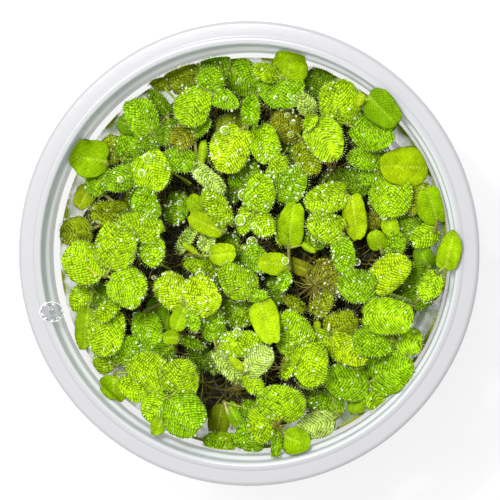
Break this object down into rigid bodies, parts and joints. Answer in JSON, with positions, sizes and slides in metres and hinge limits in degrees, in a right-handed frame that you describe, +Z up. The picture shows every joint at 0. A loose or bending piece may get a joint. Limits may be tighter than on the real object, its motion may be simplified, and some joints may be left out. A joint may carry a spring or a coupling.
{
  "type": "potted floating aquatic plant",
  "caption": "Floating water fern mat with ridged, hairy green leaves and hanging roots in a clear, flanged round cup filled with water.",
  "frame": {"origin": "centre of the cup's underside, in the plane its foot ring rests on", "axes": "+Z up, out of the cup's mouth; -Y points to the picture's lower edge and +X to its right"},
  "size_m": [0.1, 0.1, 0.0515],
  "materials": {
    "clear_plastic": "clear, glossy, colourless",
    "water": "clear, still, faintly green",
    "leaf_lime": "soft and finely ridged, with short white hairs and small drops of water",
    "leaf_green": "soft and finely ridged, with short white hairs and small drops of water",
    "leaf_olive": "soft, dull and finely ridged, older leaves with brownish margins"
  },
  "bodies": {
    "root": {"cup": "clear_plastic", "plant_01": "leaf_green", "plant_02": "leaf_green", "plant_03": "leaf_green", "plant_04": "leaf_green", "plant_05": "leaf_green", "plant_06": "leaf_green", "plant_07": "leaf_green", "plant_08": "leaf_lime", "plant_09": "leaf_olive", "plant_10": "leaf_lime", "plant_11": "leaf_green", "plant_12": "leaf_green", "plant_13": "leaf_green", "plant_14": "leaf_green", "plant_15": "leaf_olive", "plant_16": "leaf_green", "plant_17": "leaf_green", "plant_18": "leaf_lime", "plant_19": "leaf_lime", "plant_20": "leaf_olive", "plant_21": "leaf_green", "plant_22": "leaf_lime", "plant_23": "leaf_lime", "plant_24": "leaf_green", "plant_25": "leaf_green", "plant_26": "leaf_green", "plant_27": "leaf_green", "plant_28": "leaf_olive", "plant_29": "leaf_green", "plant_30": "leaf_lime", "plant_31": "leaf_lime", "plant_32": "leaf_lime", "plant_33": "leaf_lime", "plant_34": "leaf_lime", "plant_35": "leaf_lime", "plant_36": "leaf_lime", "plant_37": "leaf_lime", "plant_38": "leaf_lime", "plant_39": "leaf_lime", "plant_40": "leaf_lime", "plant_41": "leaf_lime", "plant_42": "leaf_lime", "plant_43": "leaf_lime", "plant_44": "leaf_lime", "plant_45": "leaf_lime", "plant_46": "leaf_lime", "plant_47": "leaf_lime", "plant_48": "leaf_lime", "plant_49": "leaf_lime", "plant_50": "leaf_lime", "plant_51": "leaf_lime", "plant_52": "leaf_lime", "plant_53": "leaf_lime", "plant_54": "leaf_lime", "plant_55": "leaf_lime", "plant_56": "leaf_green", "plant_57": "leaf_lime", "plant_58": "leaf_lime", "water": "water"}
  },
  "joints": []
}
